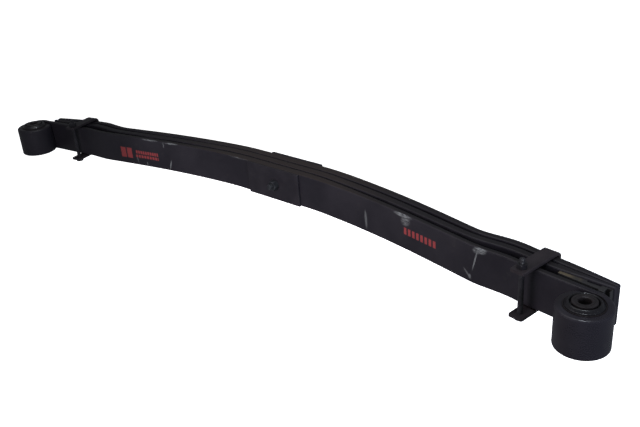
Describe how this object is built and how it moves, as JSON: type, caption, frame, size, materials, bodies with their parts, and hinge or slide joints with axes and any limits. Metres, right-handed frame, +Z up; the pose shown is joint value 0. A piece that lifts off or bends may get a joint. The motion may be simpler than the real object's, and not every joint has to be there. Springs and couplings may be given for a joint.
{
  "type": "leaf spring",
  "caption": "Parabolic leaf spring for a truck axle: stacked black steel leaves with rolled, bushed eyes, rebound clips near the ends and a centre bolt through pads.",
  "frame": {"origin": "axle seat: on the centre bolt's axis, on the underside of the bottom pad", "axes": "+X along the spring towards the front eye, +Y along the eye axes, +Z up, towards the frame rail"},
  "size_m": [1.7588, 0.1224, 0.2725],
  "materials": {
    "black_paint": "satin black paint over spring steel, lightly scuffed",
    "pad_paint": "satin black paint over pressed steel",
    "bolt_steel": "dark phosphated steel",
    "bush_steel": "dull machined steel with overspray",
    "bush_rubber": "smooth moulded rubber",
    "liner": "tan moulded wear liner, painted over towards the tip"
  },
  "bodies": {
    "axle_clamp": {"main_leaf": "black_paint", "second_leaf": "black_paint", "third_leaf": "black_paint", "top_pad": "pad_paint", "bottom_pad": "pad_paint", "centre_spacer_upper": "pad_paint", "centre_spacer_lower": "pad_paint", "centre_bolt": "bolt_steel", "centre_nut": "bolt_steel"},
    "front_limb": {"front_bush_sleeve": "bush_steel", "front_bush_rubber": "bush_rubber", "front_clip_band": "pad_paint", "front_clip_bolt": "bolt_steel", "front_clip_nut": "bolt_steel", "front_clip_rivet": "pad_paint", "front_tip_liner_upper": "liner", "front_tip_liner_lower": "liner"},
    "rear_limb": {"rear_bush_sleeve": "bush_steel", "rear_bush_rubber": "bush_rubber", "rear_clip_band": "pad_paint", "rear_clip_bolt": "bolt_steel", "rear_clip_nut": "bolt_steel", "rear_clip_rivet": "pad_paint", "rear_tip_liner_upper": "liner", "rear_tip_liner_lower": "liner"},
    "front_bush_core": {"front_bush_core": "bush_steel"},
    "rear_bush_core": {"rear_bush_core": "bush_steel"}
  },
  "joints": [
    {"name": "front_limb_flex", "type": "hinge", "parent": "axle_clamp", "child": "front_limb", "pos_m": [0.256, 0, 0.0805], "axis": [0, 1, 0], "range_deg": [-2, 15], "stiffness_Nm_per_rad": 40000, "deforming": ["main_leaf", "second_leaf", "third_leaf"]},
    {"name": "rear_limb_flex", "type": "hinge", "parent": "axle_clamp", "child": "rear_limb", "pos_m": [-0.28, 0, 0.0805], "axis": [0, -1, 0], "range_deg": [-2, 15], "stiffness_Nm_per_rad": 40000, "deforming": ["main_leaf", "second_leaf", "third_leaf"]},
    {"name": "front_eye_twist", "type": "hinge", "parent": "front_limb", "child": "front_bush_core", "pos_m": [0.8205, 0, 0.2155], "axis": [0, 1, 0], "range_deg": [-20, 20], "stiffness_Nm_per_rad": 300},
    {"name": "rear_eye_twist", "type": "hinge", "parent": "rear_limb", "child": "rear_bush_core", "pos_m": [-0.8445, 0, 0.2155], "axis": [0, 1, 0], "range_deg": [-20, 20], "stiffness_Nm_per_rad": 300}
  ]
}
